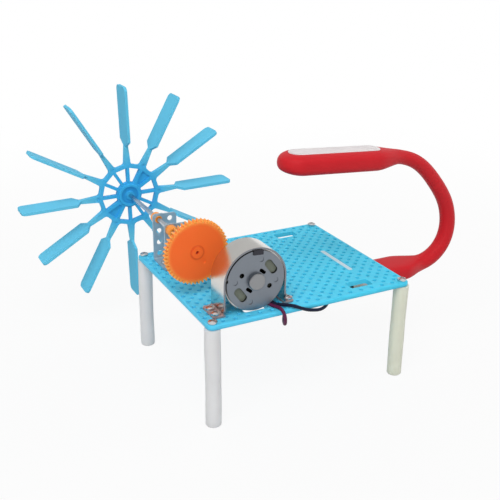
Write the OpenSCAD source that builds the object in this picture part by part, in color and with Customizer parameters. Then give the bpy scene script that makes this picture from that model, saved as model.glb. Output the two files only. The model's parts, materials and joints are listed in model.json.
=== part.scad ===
// Tabletop water wheel generator: a paddle wheel turns a spur gear, the gear turns a small motor,
// and the motor feeds a plug-in lamp. Millimetres, +Z up, X along the plate's long side.

/* [Plate] */
// Length of the perforated plate
plate_l = 89; // [80:1:130]
// Width of the perforated plate
plate_w = 75; // [70:1:110]
// Thickness of the plate
plate_t = 2; // [1.6:0.1:3]
// Radius of the plate's corners
plate_corner_r = 2.5; // [1:0.1:5]
// Step of the staggered hole grid, between holes of one row
grid_step = 5; // [4:0.5:8]
// Diameter of the grid holes
grid_hole_d = 1.7; // [1:0.1:2.2]
// Length of the short slots
slot_l = 10; // [6:0.5:14]
// Width of the short slots
slot_w = 5.2; // [3:0.1:6]
// Length of the long slot
long_slot_l = 23; // [15:0.5:30]
// Width of the long slot
long_slot_w = 2; // [1:0.1:3]

/* [Legs] */
// Length of the legs
leg_len = 41; // [30:0.1:80]
// Outside diameter of the legs
leg_d = 6.4; // [5:0.1:8]
// How far the leg screws stand in from the plate's edges
leg_inset = 2.5; // [2.4:0.1:3]

/* [Screws] */
// Diameter of the screw shanks
screw_d = 1.8; // [1.4:0.1:2.4]
// Diameter of the pan heads
screw_head_d = 3.5; // [3:0.1:3.8]
// Height of the pan heads
screw_head_h = 1.3; // [0.8:0.1:2]
// Length of the leg screws under the head
leg_screw_len = 9; // [6:0.5:14]
// Length of the short screws under the head
short_screw_len = 5; // [4:0.5:8]

/* [Shaft and bracket] */
// Diameter of the wheel shaft
shaft_d = 2; // [1.6:0.1:2.4]
// Height of the shaft above the plate
shaft_h = 18.1; // [17.5:0.1:21]
// Distance of the shaft from the plate's short edge
shaft_in = 6.9; // [6.5:0.1:8.5]
// Radial running gap round a shaft
run_gap = 0.04; // [0.02:0.01:0.08]
// Thickness of the bracket's sheet
bracket_t = 0.8; // [0.5:0.1:1.2]
// Width of the bracket's arms
bracket_w = 5.2; // [4.8:0.1:8]
// Outside distance between the bracket's arms
bracket_span = 13.9; // [11:0.1:16]
// Distance of the bracket's middle from the plate's front edge
bracket_in = 58.9; // [56:0.1:62]
// Step of the bracket's holes
bracket_step = 5; // [4.5:0.1:5.5]
// Diameter of the bracket's holes
bracket_hole_d = 2.3; // [1.8:0.1:2.6]
// Outside diameter of the bush bodies
bush_d = 3.2; // [2.8:0.1:3.6]
// Diameter of the bush flanges
bush_flange_d = 4.5; // [4:0.1:5]
// Length of the bush flanges
bush_flange_l = 3.3; // [1:0.1:5]

/* [Water wheel] */
// Radius over the paddle tips
wheel_r = 49.3; // [46:0.1:56]
// Number of paddles
paddles = 12; // [12:1:12]
// Width of the paddles along the shaft
paddle_w = 11; // [6:0.5:16]
// Thickness of the paddles
paddle_t = 1.2; // [0.8:0.1:1.6]
// Radius at which the paddles start
paddle_root_r = 22.5; // [20:0.1:26]
// Radius of the paddle tips' corners
paddle_corner_r = 2.2; // [1:0.1:3]
// Thickness of the wheel's rim, spokes and arms
wheel_t = 2.2; // [1.5:0.1:4]
// Distance from the axis to the flats of the wheel's rim
rim_flat = 14; // [12.5:0.1:15]
// Radial width of the rim
rim_w = 1.7; // [1:0.1:2.5]
// Width of the spokes
spoke_w = 1.3; // [0.8:0.1:1.8]
// Radius of the wheel's hub
wheel_hub_r = 5.2; // [4:0.1:6]
// Thickness of the wheel's hub
wheel_hub_t = 5; // [3.5:0.1:8]
// How far the wheel's middle plane stands behind the plate
wheel_out = 27.4; // [22:0.1:36]
// Turn of the first paddle from +X
wheel_turn = 1; // [0:1:29]

/* [Gears] */
// Module of the gear teeth
gear_module = 0.5; // [0.5:0.01:0.52]
// Teeth of the drive gear
gear_teeth = 50; // [46:1:54]
// Teeth of the motor's pinion
pinion_teeth = 10; // [10:1:12]
// Profile shift of the pinion, in modules
pinion_shift = 0.4; // [0.3:0.05:0.5]
// How much each tooth is thinned for play
tooth_play = 0.1; // [0.06:0.01:0.16]
// Width of the drive gear's rim
gear_t = 2.6; // [2:0.1:4]
// Distance of the drive gear's face from the plate's front edge
gear_in = 25.3; // [24:0.1:28]
// Diameter of the drive gear's hub
gear_hub_d = 5; // [4:0.1:7]

/* [Motor] */
// Outside diameter of the motor
motor_d = 24.4; // [23:0.1:26]
// Length of the motor's can
motor_can_l = 10.6; // [9:0.1:12]
// Wall of the motor's can
motor_wall = 0.8; // [0.5:0.1:1]
// Thickness of the motor's end plate
end_plate_t = 1; // [0.6:0.1:1.5]
// Distance of the motor's face from the plate's front edge
motor_in = 4.4; // [4:0.1:5]
// Diameter of the motor's shaft
motor_shaft_d = 2; // [1.5:0.1:2.2]
// Diameter of the bearing boss on the end plate
end_boss_d = 6.6; // [5:0.1:7]
// Diameter of the bearing boss on the can
can_boss_d = 6; // [5:0.1:8]
// Thickness of the strap's sheet
strap_t = 0.7; // [0.5:0.1:1]
// Width of the strap
strap_w = 11; // [9:0.1:11.2]
// How far the strap's feet reach out from its legs
strap_foot = 4; // [3.8:0.1:4.3]

/* [Lamp] */
// Distance of the lamp from the plate's front edge
lamp_in = 24.2; // [20:0.1:27]
// Depth of the plug's middle below the plate's top
plug_depth = 5.8; // [5.6:0.1:7]
// Width of the lamp's base and head
lamp_w = 15.6; // [14.8:0.1:18]
// Thickness of the lamp's base
lamp_base_t = 6.7; // [6:0.1:7.4]
// Thickness of the lamp's head
lamp_head_t = 7.4; // [6:0.1:8]
// Diameter of the neck where it leaves the base
neck_d = 7.2; // [6:0.1:7.6]
// Diameter of the neck where it meets the head
neck_top_d = 5.8; // [5:0.1:6.4]
// Length of the base from its mouth to the neck
lamp_base_l = 22.4; // [19:0.1:26]
// Radius of the neck's lower bend
neck_r1 = 15; // [13:0.1:18]
// Radius of the neck's side bend
neck_r2 = 28; // [22:0.5:34]
// Length of the neck's straight part
neck_straight = 12; // [8:0.5:18]
// Radius of the neck's upper bend
neck_r3 = 24; // [18:0.5:30]
// Length of the head
lamp_head_l = 55; // [50:0.5:62]
// Length of the lens
lens_l = 44; // [36:0.5:46]
// Width of the lens
lens_w = 12; // [9:0.1:12.4]

/* [Hidden] */
$fn = 48;
tiny = 0.01;
fit = 0.02;
head_dome_r = screw_head_d;

// The origin lies on the ground under the middle of the whole model.
plate_x = 1.8;
plate_y = -14.6;
plate_z = leg_len + plate_t;

// The plate's outline and its legs stand a little off the middle of the hole grid.
plate_mid = [-1, -1.9];
left_x = plate_mid.x - plate_l / 2;
right_x = plate_mid.x + plate_l / 2;
front_y = plate_mid.y - plate_w / 2;
back_y = plate_mid.y + plate_w / 2;

// Hole grid: every second crossing of a half-step net carries a hole.
half_step = grid_step / 2;
grid_x0 = half_step / 2;
grid_y0 = 0.6;
grid_margin = 1.2;
grid_nx = ceil(plate_l / grid_step) + 1;
grid_ny = ceil(plate_w / grid_step) + 1;
slot_corner_r = 0.8;
slot_x = right_x - 19.8;
slot_back_y = back_y - 8;
slot_front_y = front_y + 7.6;
long_slot_x = right_x - 14.8;
long_slot_y = front_y + 32;

leg_x = plate_l / 2 - leg_inset;
leg_y = plate_w / 2 - leg_inset;
LEG_SPOTS = [for (sx = [-1, 1], sy = [-1, 1]) plate_mid + [sx * leg_x, sy * leg_y]];

shaft_x = left_x + shaft_in;
bracket_y = front_y + bracket_in;
arm_front_y = bracket_y - bracket_span / 2;
arm_back_y = bracket_y + bracket_span / 2;
bush_bore_d = shaft_d + 2 * run_gap;
bracket_ear = 7.9;
bracket_top = shaft_h + bracket_hole_d / 2 + 1.4;
bracket_foot_spot = [shaft_x, bracket_y];

wheel_y = back_y + wheel_out;
wheel_front_y = wheel_y - wheel_hub_t / 2;
gear_y = front_y + gear_in;
wheel_step = 360 / paddles;
shaft_front_y = gear_y + 1.2;
shaft_back_y = wheel_y + wheel_hub_t / 2 - 1;
arm_tip_w = 1.7;
arm_flare = 20;
web_r = 1.5;

// The pinion is shifted, so the gears stand a little further apart than their pitch circles.
gear_gap = gear_module * ((gear_teeth + pinion_teeth) / 2 + pinion_shift);
motor_y = front_y + motor_in;
motor_h = motor_d / 2 + fit;
motor_x = shaft_x + sqrt(gear_gap * gear_gap - pow(shaft_h - motor_h, 2));
mesh_angle = atan2(motor_h - shaft_h, motor_x - shaft_x);

can_front_y = motor_y + end_plate_t;
can_back_y = can_front_y + motor_can_l;
can_r = motor_d / 2;
can_in_r = can_r - motor_wall;
can_boss_l = 1.6;
end_boss_l = 1.5;
end_plate_r = can_r - 0.4;
bearing_d = 4;
bearing_l = 1.5;
commutator_r = 2.3;
dimple_r = can_r * 0.69;
vent_r = can_r * 0.63;
pin_r = can_r * 0.53;
slit_r = can_r * 0.35;
holder_hole_r = slit_r + 1;
lead_turn = -58;
lead_flat = can_r - 1.45;
holder_t = 1.6;
tab_w = 4;
tab_t = 0.5;
TAB_TURNS = [86];
notch_turn = 171;
pinion_front_y = gear_y - 0.9;
pinion_l = gear_t + 1.8;
motor_shaft_end_y = pinion_front_y + pinion_l + 0.2;

strap_y = motor_y + 0.2;
strap_in_r = can_r + fit;
strap_out_r = strap_in_r + strap_t;
strap_bend_r = 0.5;
strap_screw_x = strap_out_r + strap_bend_r + screw_head_d / 2 + fit;
STRAP_SPOTS = [for (sx = [-1, 1], k = [0, 1])
    [motor_x + sx * strap_screw_x, strap_y + strap_w * 0.44 + (k - 0.5) * grid_step]];

plug_z = -plug_depth;
lamp_y = front_y + lamp_in;
shell_w = 12;
shell_h = 4.5;
shell_wall = 0.3;
shell_out = 12;
shell_in = 5;
socket_gap = 0.15;
socket_wall = 0.3;
socket_w = shell_w + 2 * (socket_gap + socket_wall);
socket_h = shell_h + 2 * (socket_gap + socket_wall);
socket_l = 14;
socket_mouth_x = right_x - 1;
lamp_mouth_x = right_x + 0.2;
tongue_t = 1.8;
board_l = 25;
board_w = 17;
board_t = 1.6;
board_top = plug_z - socket_h / 2;
board_x1 = socket_mouth_x;
board_x0 = board_x1 - board_l;
terminal_x = board_x0 + 1.5;
terminal_size = 2;

neck_turn1 = 90;
neck_turn2 = 40;
neck_turn3 = 46;
head_turn = neck_turn1 + neck_turn2 + neck_turn3;
neck_x0 = lamp_mouth_x + lamp_base_l;
lens_t = 1.2;
lens_proud = 0.2;
lens_start = 9.5;
led_board_t = 0.8;
led_h = 0.6;
led_size = 2.2;
leds = 6;
pocket_deep = lens_t - lens_proud + led_h + led_board_t + 0.2;

// Leads: points between the motor and the board. X is measured from the middle of the hole grid,
// Y from the plate's front edge and Z from its top.
lead_d = 1.3;
lead_side = 0.75;
terminal_y = 2.8;
BLACK_ROUTE = [[-17.6, 6.2, 2.4], [-16.8, 5.8, 1.4], [-15.9, 4.9, 0.8], [-14.8, 3.9, 0.8],
    [-13.2, 2.6, 0.8], [-11.7, 1, 1], [-10.2, -0.4, 0.8], [-8.2, -1.1, 0],
    [-5.5, -1.2, -1.2], [-2.5, -1, -2.1], [0.4, -0.4, -2.8], [3, 0.9, -3.2],
    [5.6, 3.1, -3.7], [8.2, 6.2, -4.5], [10.8, 10.1, -5.5], [13, 14, -6.5],
    [14.8, 17.9, -7.3], [16.3, 20.4, -7.7]];
RED_ROUTE = [[-18.8, 6, 1.7], [-17.8, 5, 0.8], [-16.8, 2.8, 0.8], [-16.2, 0.4, 0.9],
    [-16, -1.4, 0.2], [-15.8, -2.4, -1.4], [-15.5, -2.2, -3.2], [-15.1, -1.4, -4.7],
    [-14.5, 0, -5.7], [-13.7, 1.8, -6.2], [-12.6, 4, -6.4], [-11, 6.7, -6.5],
    [-9, 9.9, -6.7], [-6.4, 13.4, -7], [-3, 16.6, -7.4], [1, 19.5, -7.7],
    [5.5, 22.1, -7.9], [10, 24.4, -8], [14.4, 26.3, -7.9]];

// Places children on the middle of the plate's top face.
module on_plate() {
    translate([plate_x, plate_y, plate_z])
        children();
}

// Draws a shape's own XY plane as the object's XZ plane, with depth towards +Y from y0.
module upright(y0) {
    translate([0, y0, 0])
        rotate([90, 0, 0])
            mirror([0, 0, 1])
                children();
}

module tube_y(x, z, y0, y1, d) {
    translate([x, y0, z])
        rotate([-90, 0, 0])
            cylinder(d = d, h = y1 - y0);
}

module round_box(size, r) {
    w = size.x / 2 - r;
    h = size.y / 2 - r;
    square([size.x - 2 * r, size.y], center = true);
    square([size.x, size.y - 2 * r], center = true);
    for (x = [-w, w], y = [-h, h])
        translate([x, y])
            circle(r = r);
}

module round_slot(size, r) {
    w = size.x / 2 - r;
    h = size.y / 2 - r;
    polygon([for (q = [[w, h, 0], [-w, h, 90], [-w, -h, 180], [w, -h, 270]], a = [0 : 15 : 90])
        [q[0] + r * cos(q[2] + a), q[1] + r * sin(q[2] + a)]]);
}

module pan_screw(len) {
    rotate_extrude()
        difference() {
            intersection() {
                square([screw_head_d / 2, screw_head_h]);
                translate([0, screw_head_h - head_dome_r])
                    circle(r = head_dome_r, $fn = 96);
            }
            square(tiny);
        }
    translate([0, 0, -len])
        cylinder(d = screw_d, h = len);
}

module screw_slot() {
    for (a = [0, 90])
        rotate(a)
            translate([0, 0, screw_head_h])
                cube([screw_head_d * 0.6, 0.5, 0.9], center = true);
}

module screw(spot, z, len, turn) {
    translate([spot.x, spot.y, z])
        rotate(turn)
            difference() {
                pan_screw(len);
                screw_slot();
            }
}

// Sweeps closed rings of points into one solid.
module skin(rings) {
    n = len(rings[0]);
    last = len(rings) - 1;
    sides = [for (i = [0 : last - 1], j = [0 : n - 1], k = [0, 1])
        let (a = i * n + j, b = i * n + (j + 1) % n)
            k == 0 ? [a, b, b + n] : [a, b + n, a + n]];
    ends = [[for (j = [n - 1 : -1 : 0]) j], [for (j = [0 : n - 1]) last * n + j]];
    polyhedron(points = [for (r = rings) each r], faces = concat(sides, ends), convexity = 6);
}

function unit(v) = v / norm(v);

// Ring of eight points round a lead's route.
function lead_ring(route, i) =
    let (last = len(route) - 1,
        way = unit(route[min(i + 1, last)] - route[max(i - 1, 0)]),
        side = unit(cross(way, [0.3, 0.2, 1])),
        up = cross(side, way))
    [for (a = [0 : 45 : 315]) route[i] + lead_d / 2 * (cos(a) * side + sin(a) * up)];

// A lead leaves the brush holder's flat square and ends square against its terminal.
function lead_start(off, out) =
    let (c = cos(lead_turn), s = sin(lead_turn), r = lead_flat + out)
    [motor_x + r * c - off * s, can_front_y + holder_t / 2, motor_h + r * s + off * c];
function lead_end(side, back) =
    [terminal_x - back, lamp_y + side * terminal_y, board_top + lead_d / 2];
function lead_route(off, side, middle) = concat(
    [lead_start(off, 0), lead_start(off, 0.3)],
    [for (p = middle) [p.x * plate_l / 89, front_y + p.y, p.z]],
    [lead_end(side, 0.8), lead_end(side, 0)]);

// Oval ring across the lamp's middle line; a high power makes it flatter.
function bow(v, power) = sign(v) * pow(abs(v), 2 / power);
function oval(spot, turn, w, t, power) =
    [for (a = [7.5 : 15 : 352.5])
        let (n = t / 2 * bow(cos(a), power))
        [spot.x - n * sin(turn), lamp_y + w / 2 * bow(sin(a), power), spot.y + n * cos(turn)]];
function ease(k) = k * k * (3 - 2 * k);
function mix(a, b, k) = a + (b - a) * k;
function along(spot, turn, l) = [spot.x + l * cos(turn), spot.y + l * sin(turn)];
function bend(spot, turn, r, more) =
    [spot.x + r * (sin(turn + more) - sin(turn)), spot.y + r * (cos(turn) - cos(turn + more))];

// Middle line of the neck: two bends, a straight part and a third bend, in X and Z.
neck_p0 = [neck_x0, plug_z];
neck_p1 = bend(neck_p0, 0, neck_r1, neck_turn1);
neck_p2 = bend(neck_p1, neck_turn1, neck_r2, neck_turn2);
neck_p3 = along(neck_p2, neck_turn1 + neck_turn2, neck_straight);
neck_p4 = bend(neck_p3, neck_turn1 + neck_turn2, neck_r3, neck_turn3);
neck_line = concat(
    [for (a = [0 : 7.5 : neck_turn1]) [bend(neck_p0, 0, neck_r1, a), a]],
    [for (a = [8 : 8 : neck_turn2]) [bend(neck_p1, neck_turn1, neck_r2, a), neck_turn1 + a]],
    [for (k = [1 : 3])
        [along(neck_p2, neck_turn1 + neck_turn2, neck_straight * k / 3), neck_turn1 + neck_turn2]],
    [for (k = [1 : 6])
        [bend(neck_p3, neck_turn1 + neck_turn2, neck_r3, neck_turn3 * k / 6),
            neck_turn1 + neck_turn2 + neck_turn3 * k / 6]]);

// Grid holes that clear the plate's edge, the slots and the screws.
plate_screws = concat(LEG_SPOTS, STRAP_SPOTS, [bracket_foot_spot]);
slots = [[slot_x, slot_back_y, slot_l, slot_w], [slot_x, slot_front_y, slot_l, slot_w],
    [-slot_x, slot_back_y, slot_l, slot_w], [-slot_x, slot_front_y, slot_l, slot_w],
    [long_slot_x, long_slot_y, long_slot_w, long_slot_l]];
hole_rim = grid_hole_d / 2 + 0.4;
function near_slot(p) = len([for (s = slots)
    if (abs(p.x - s[0]) < s[2] / 2 + hole_rim && abs(p.y - s[1]) < s[3] / 2 + hole_rim) s]) > 0;
function near_screw(p) = len([for (s = plate_screws)
    if (norm(p - s) < screw_d / 2 + hole_rim) s]) > 0;
grid_holes = [for (i = [-grid_nx * 2 : grid_nx * 2], j = [-grid_ny * 2 : grid_ny * 2])
    let (p = [grid_x0 + i * half_step, grid_y0 + j * half_step])
    if (abs(i + j) % 2 == 1
        && p.x >= left_x + grid_margin && p.x <= right_x - grid_margin
        && p.y >= front_y + grid_margin && p.y <= back_y - grid_margin
        && !near_slot(p) && !near_screw(p)) p];

module base_plate() {
    color("#55c8eb")
        on_plate()
            translate([0, 0, -plate_t])
                linear_extrude(plate_t)
                    difference() {
                        translate(plate_mid)
                            round_box([plate_l, plate_w], plate_corner_r);
                        for (p = grid_holes)
                            translate(p)
                                circle(d = grid_hole_d, $fn = 24);
                        for (s = slots)
                            translate([s[0], s[1]])
                                round_slot([s[2], s[3]], slot_corner_r);
                        for (p = plate_screws)
                            translate(p)
                                circle(d = screw_d + 2 * fit);
                    }
}

module slot_strip() {
    low = 0.1;
    color("#cfe2ea")
        on_plate()
            translate([long_slot_x, long_slot_y, -plate_t])
                linear_extrude(plate_t - low)
                    round_slot([long_slot_w - 2 * fit, long_slot_l - 2 * fit], slot_corner_r - fit);
}

module leg(sx, sy) {
    edge = 1.3;
    deep = leg_screw_len - plate_t + 1;
    color("#dcdfe0")
        translate([plate_x + plate_mid.x + sx * leg_x, plate_y + plate_mid.y + sy * leg_y, 0])
            rotate_extrude()
                polygon(concat([[0, 0]],
                    [for (a = [0 : 15 : 90]) [leg_d / 2 - edge + edge * sin(a), edge - edge * cos(a)]],
                    [[leg_d / 2, leg_len - 0.2], [leg_d / 2 - 0.2, leg_len],
                    [screw_d / 2 + fit, leg_len], [screw_d / 2 + fit, leg_len - deep],
                    [0, leg_len - deep]]));
}

module leg_screws() {
    color("#d5d8da")
        on_plate()
            for (i = [0 : 3])
                screw(LEG_SPOTS[i], 0, leg_screw_len, 20 + 35 * i);
}

module bracket_outline() {
    difference() {
        union() {
            translate([0, bracket_top / 2])
                round_box([bracket_w, bracket_top], 1.2);
            translate([-bracket_w / 2, 0])
                square([bracket_w, bracket_top / 2]);
            translate([(bracket_ear - bracket_w / 2) / 2, shaft_h - 0.6])
                round_box([bracket_ear + bracket_w / 2, 5.8], 1.4);
        }
        for (k = [1 : 3])
            translate([0, shaft_h - bracket_step * k])
                circle(d = bracket_hole_d);
        translate([bracket_step, shaft_h])
            circle(d = bracket_hole_d);
        translate([0, shaft_h])
            circle(d = bush_d + 2 * fit);
    }
}

module bracket_profile() {
    difference() {
        translate([0, bracket_top])
            round_box([bracket_span, 2 * bracket_top], bracket_t + 0.6);
        translate([0, bracket_top + bracket_t])
            round_box([bracket_span - 2 * bracket_t, 2 * bracket_top], 0.6);
        translate([-bracket_span, bracket_top])
            square([2 * bracket_span, 2 * bracket_top]);
    }
}

module shaft_bracket() {
    color("#b9b6ae")
        on_plate()
            translate([shaft_x, bracket_y, 0])
                difference() {
                    intersection() {
                        translate([-bracket_w, 0, 0])
                            rotate([90, 0, 90])
                                linear_extrude(bracket_w + bracket_ear + 1)
                                    bracket_profile();
                        upright(-bracket_span)
                            linear_extrude(2 * bracket_span)
                                bracket_outline();
                    }
                    translate([0, 0, -1])
                        cylinder(d = screw_d + 2 * fit, h = bracket_t + 2);
                }
}

module bracket_screw() {
    color("#d5d8da")
        on_plate()
            screw(bracket_foot_spot, bracket_t, short_screw_len, 30);
}

// A flanged bush along Y: the body fills the arm's hole, the flange stands outside.
module bush(face_y, way) {
    body = bracket_t - fit;
    color("#f2a54b")
        on_plate()
            translate([shaft_x, face_y, shaft_h])
                rotate([-90 * way, 0, 0])
                    rotate_extrude()
                        polygon([[bush_bore_d / 2, -body], [bush_d / 2, -body], [bush_d / 2, 0],
                            [bush_flange_d / 2, 0], [bush_flange_d / 2, bush_flange_l - 0.4],
                            [bush_flange_d / 2 - 0.4, bush_flange_l], [bush_bore_d / 2, bush_flange_l]]);
}

module wheel_shaft() {
    l = shaft_back_y - shaft_front_y;
    color("#c9cbcd")
        on_plate()
            translate([shaft_x, shaft_front_y, shaft_h])
                rotate([-90, 0, 0])
                    rotate_extrude()
                        polygon([[0, 0], [shaft_d / 2 - 0.2, 0], [shaft_d / 2, 0.2],
                            [shaft_d / 2, l - 0.2], [shaft_d / 2 - 0.2, l], [0, l]]);
}

// Opening between two neighbouring arms, drawn along the line midway between them.
module wheel_gap() {
    v = 1.1;
    u = rim_flat + web_r;
    tx = u - web_r * sin(arm_flare);
    ty = v + web_r * cos(arm_flare);
    far = paddle_root_r + 4;
    fy = ty + (far - tx) * tan(arm_flare);
    polygon([[rim_flat, -v], [tx, -ty], [far, -fy], [far, fy], [tx, ty], [rim_flat, v]]);
    for (s = [-1, 1])
        translate([u, s * v])
            circle(r = web_r);
}

module wheel_window() {
    half = wheel_step / 2;
    u0 = wheel_hub_r + 0.6;
    u1 = rim_flat - rim_w;
    v0 = (u0 * sin(half) - spoke_w / 2) / cos(half);
    v1 = (u1 * sin(half) - spoke_w / 2) / cos(half);
    polygon([[u0, -v0], [u1, -v1], [u1, v1], [u0, v0]]);
}

module wheel_web() {
    difference() {
        circle(r = paddle_root_r + 1.2, $fn = 96);
        for (k = [0 : paddles - 1])
            rotate(wheel_turn + (k + 0.5) * wheel_step) {
                wheel_gap();
                if (k % (paddles / 2) != 1)
                    wheel_window();
            }
        circle(d = shaft_d + fit);
    }
}

// One paddle, lying along +X from the axis.
module paddle() {
    shoulder = 2.6;
    w = paddle_w / 2;
    r0 = paddle_root_r + shoulder;
    r1 = wheel_r - paddle_corner_r;
    translate([0, 0, -paddle_t / 2])
        linear_extrude(paddle_t) {
            polygon([[paddle_root_r, -wheel_t / 2], [r0, -w], [r0, w], [paddle_root_r, wheel_t / 2]]);
            translate([r0, -w])
                square([r1 - r0, paddle_w]);
            translate([r1, paddle_corner_r - w])
                square([paddle_corner_r, paddle_w - 2 * paddle_corner_r]);
            for (s = [-1, 1])
                translate([r1, s * (w - paddle_corner_r)])
                    circle(r = paddle_corner_r);
        }
}

module wheel_hub() {
    t = wheel_hub_t;
    b = shaft_d / 2 + fit / 2;
    rotate([-90, 0, 0])
        rotate_extrude()
            polygon([[b, 0], [1.9, 0], [1.9, 1.3], [wheel_hub_r - 1.2, 1.3], [wheel_hub_r - 1.2, 0.5],
                [wheel_hub_r - 0.2, 0.5], [wheel_hub_r, 0.7], [wheel_hub_r, t - 0.2],
                [wheel_hub_r - 0.2, t], [0, t], [0, t - 1 + fit], [b, t - 1 + fit]]);
}

module water_wheel() {
    color("#4bafe1")
        on_plate()
            translate([shaft_x, 0, shaft_h]) {
                difference() {
                    union() {
                        upright(wheel_y - wheel_t / 2)
                            linear_extrude(wheel_t)
                                wheel_web();
                        for (k = [0 : paddles - 1])
                            translate([0, wheel_y, 0])
                                rotate([0, -wheel_turn - k * wheel_step, 0])
                                    paddle();
                    }
                    for (k = [0 : 2 : paddles - 1])
                        rotate([0, -wheel_turn - k * wheel_step, 0])
                            tube_y(rim_flat + 0.6, 0, wheel_y - wheel_t, wheel_y - wheel_t / 2 + 0.3, 1.4);
                    tube_y(0, 0, wheel_y - wheel_t, wheel_y + wheel_t, 2 * wheel_hub_r - 0.4);
                }
                translate([0, wheel_front_y, 0])
                    wheel_hub();
            }
}

// Involute spur gear outline, one tooth centred on +X.
function inv(a) = tan(a) * 180 / PI - a;
function roll(r, base) = r <= base ? 0 : acos(base / r);
function gear_points(teeth, shift) =
    let (pitch = gear_module * teeth / 2,
        base = pitch * cos(20),
        tip = pitch + gear_module * (1 + shift) - 0.04,
        root = pitch - gear_module * (1.25 - shift) - 0.04,
        thick = gear_module * (PI / 2 + 2 * shift * tan(20)) - tooth_play,
        half = thick / pitch / 2 * 180 / PI + inv(20),
        low = max(base, root + 0.02),
        flank = [for (k = [0 : 4]) mix(low, tip, k / 4)])
    [for (i = [0 : teeth - 1])
        let (c = 360 * i / teeth)
        each concat(
            [[root, c - (half - inv(roll(low, base))) - 0.2]],
            [for (r = flank) [r, c - (half - inv(roll(r, base)))]],
            [for (k = [4 : -1 : 0]) [flank[k], c + half - inv(roll(flank[k], base))]],
            [[root, c + half - inv(roll(low, base)) + 0.2]])];

module gear_outline(teeth, shift) {
    polygon([for (p = gear_points(teeth, shift)) [p[0] * cos(p[1]), p[0] * sin(p[1])]]);
}

module drive_gear() {
    face = 0.5;
    deep = gear_t + 3.4;
    color("#e8692d")
        on_plate()
            translate([shaft_x, gear_y, shaft_h])
                difference() {
                    union() {
                        upright(0)
                            linear_extrude(gear_t)
                                rotate(mesh_angle)
                                    gear_outline(gear_teeth, 0);
                        tube_y(0, 0, -0.3, deep, gear_hub_d);
                    }
                    tube_y(0, 0, -1, shaft_front_y - gear_y + fit, shaft_d - 0.6);
                    tube_y(0, 0, shaft_front_y - gear_y - fit, deep + 1, shaft_d + fit);
                    rotate([0, 55, 0])
                        tube_y(gear_hub_d / 2 + 2.4, 0, -1, 0.25, 1.6);
                    difference() {
                        tube_y(0, 0, gear_t - face, gear_t + 1, 2 * (gear_module * gear_teeth / 2 - 2.4));
                        tube_y(0, 0, gear_t - face - 1, gear_t + 2, gear_hub_d);
                    }
                }
}

module motor_pinion() {
    color("#e6e3d8")
        on_plate()
            translate([motor_x, pinion_front_y, motor_h])
                upright(0)
                    linear_extrude(pinion_l)
                        difference() {
                            rotate(mesh_angle + 180 + 180 / pinion_teeth)
                                gear_outline(pinion_teeth, pinion_shift);
                            circle(d = motor_shaft_d + fit);
                        }
}

// Places children on the motor's axis, at its face.
module on_motor() {
    on_plate()
        translate([motor_x, motor_y, motor_h])
            children();
}

module tab_wedge(turn, r0, r1) {
    rotate(turn)
        translate([r0, -tab_w / 2])
            square([r1 - r0, tab_w]);
}

module motor_can() {
    back = motor_can_l + end_plate_t;
    color("#aeaba6")
        on_motor()
            difference() {
                union() {
                    rotate([-90, 0, 0])
                        rotate_extrude()
                            polygon([[can_in_r, end_plate_t], [can_r, end_plate_t], [can_r, back - 1],
                                [can_r - 0.3, back - 0.3], [can_r - 1, back], [can_boss_d / 2, back],
                                [can_boss_d / 2, back + can_boss_l - 0.3],
                                [can_boss_d / 2 - 0.3, back + can_boss_l],
                                [motor_shaft_d / 2 + 0.3, back + can_boss_l],
                                [motor_shaft_d / 2 + 0.3, back + can_boss_l - 0.5],
                                [bearing_d / 2 + fit / 2, back + can_boss_l - 0.5],
                                [bearing_d / 2 + fit / 2, back - motor_wall],
                                [can_in_r, back - motor_wall]]);
                    for (a = TAB_TURNS) {
                        upright(-tab_t)
                            linear_extrude(tab_t)
                                intersection() {
                                    tab_wedge(a, can_r - 1.9, can_r + 1);
                                    circle(r = can_r);
                                }
                        upright(-tab_t)
                            linear_extrude(tab_t + end_plate_t + fit)
                                intersection() {
                                    tab_wedge(a, can_in_r, can_r + 1);
                                    difference() {
                                        circle(r = can_r);
                                        circle(r = can_in_r);
                                    }
                                }
                    }
                }
                rotate([0, -lead_turn, 0])
                    translate([can_in_r - 1, end_plate_t - 1, -lead_side - lead_d / 2 - 0.2])
                        cube([4, holder_t + 1.1, 2 * lead_side + lead_d + 0.4]);
            }
}

module end_plate_outline() {
    difference() {
        circle(r = end_plate_r, $fn = 96);
        for (a = TAB_TURNS)
            rotate(a)
                translate([can_in_r - fit, -tab_w / 2 - fit])
                    square([2, tab_w + 2 * fit]);
        rotate(notch_turn)
            translate([end_plate_r - 0.5, -0.6])
                square([2, 1.2]);
        for (a = [36, 216])
            rotate(a)
                translate([vent_r, 0])
                    round_box([3.1, 6.5], 1.4);
        for (a = [50, 230])
            rotate(a)
                translate([slit_r, 0])
                    round_box([1.3, 3], 0.6);
        for (a = [152, 332])
            rotate(a)
                translate([pin_r, 0])
                    circle(d = 1.9);
    }
}

module motor_end_plate() {
    color("#868b94")
        on_motor()
            difference() {
                union() {
                    upright(0)
                        linear_extrude(end_plate_t)
                            end_plate_outline();
                    rotate([-90, 0, 0])
                        rotate_extrude()
                            polygon([[0, -end_boss_l], [end_boss_d / 2 - 0.3, -end_boss_l],
                                [end_boss_d / 2, 0.3 - end_boss_l], [end_boss_d / 2, end_plate_t / 2],
                                [0, end_plate_t / 2]]);
                }
                tube_y(0, 0, 0.4 - end_boss_l, end_plate_t + 1, bearing_d + fit);
                for (a = [75, 175, 255, 352])
                    rotate([0, -a, 0])
                        tube_y(dimple_r, 0, -1, 0.25, 2);
            }
}

module motor_magnets() {
    l = motor_can_l - motor_wall - holder_t - 0.6;
    color("#4a4a4c")
        on_motor()
            upright(end_plate_t + holder_t + 0.3)
                linear_extrude(l)
                    difference() {
                        circle(r = can_in_r - fit);
                        circle(r = can_in_r - 1.7);
                        square([3, motor_d], center = true);
                    }
}

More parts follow.
